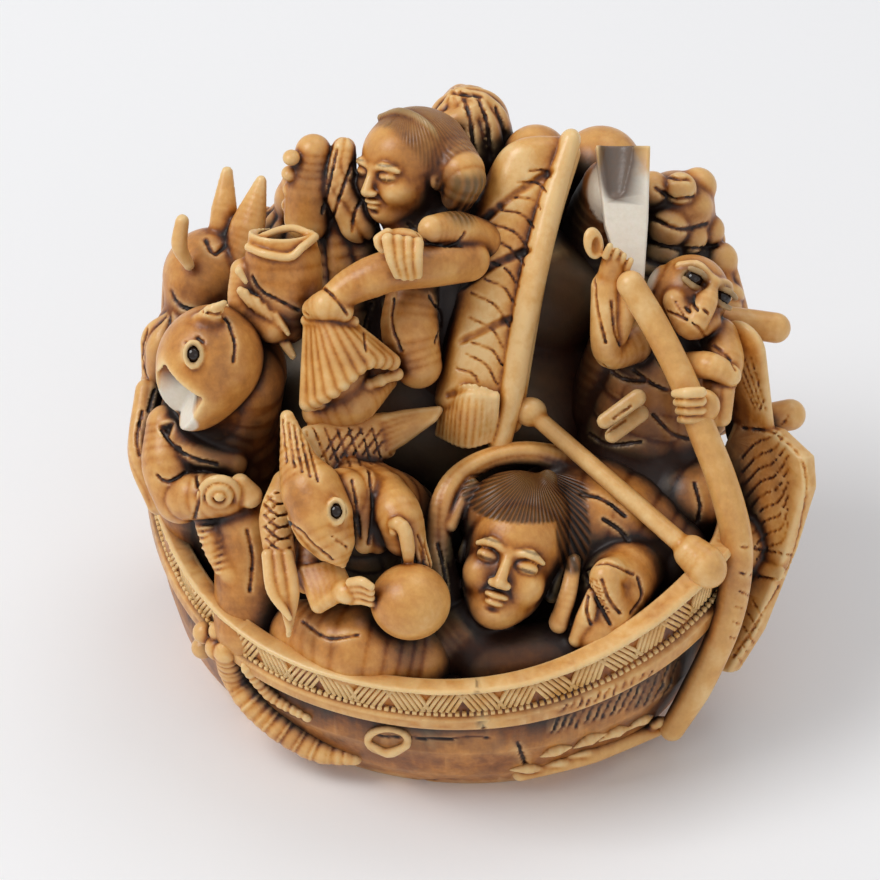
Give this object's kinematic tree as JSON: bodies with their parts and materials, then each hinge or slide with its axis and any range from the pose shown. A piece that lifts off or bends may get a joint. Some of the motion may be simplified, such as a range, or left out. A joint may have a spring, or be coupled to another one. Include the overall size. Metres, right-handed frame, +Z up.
{
  "type": "okimono",
  "caption": "Carved ivory okimono: a plump boat crowded with robed people and animals, on a flat foot, with inlaid horn eyes.",
  "frame": {"origin": "centre of the flat underside", "axes": "+Z up, +X along the boat towards the stern and its steering blade, -Y towards the side the old man faces"},
  "size_m": [0.0502, 0.043, 0.0414],
  "materials": {
    "stained_ivory": "hand polished ivory, stained honey with brown left in the cuts, paler where it is worn",
    "dark_horn": "polished near-black horn"
  },
  "bodies": {
    "root": {"okimono_carving": "stained_ivory", "rooster_eye_left": "dark_horn", "rooster_eye_right": "dark_horn", "boar_eye_left": "dark_horn", "boar_eye_right": "dark_horn", "monkey_eye_left": "dark_horn", "monkey_eye_right": "dark_horn"}
  },
  "joints": []
}
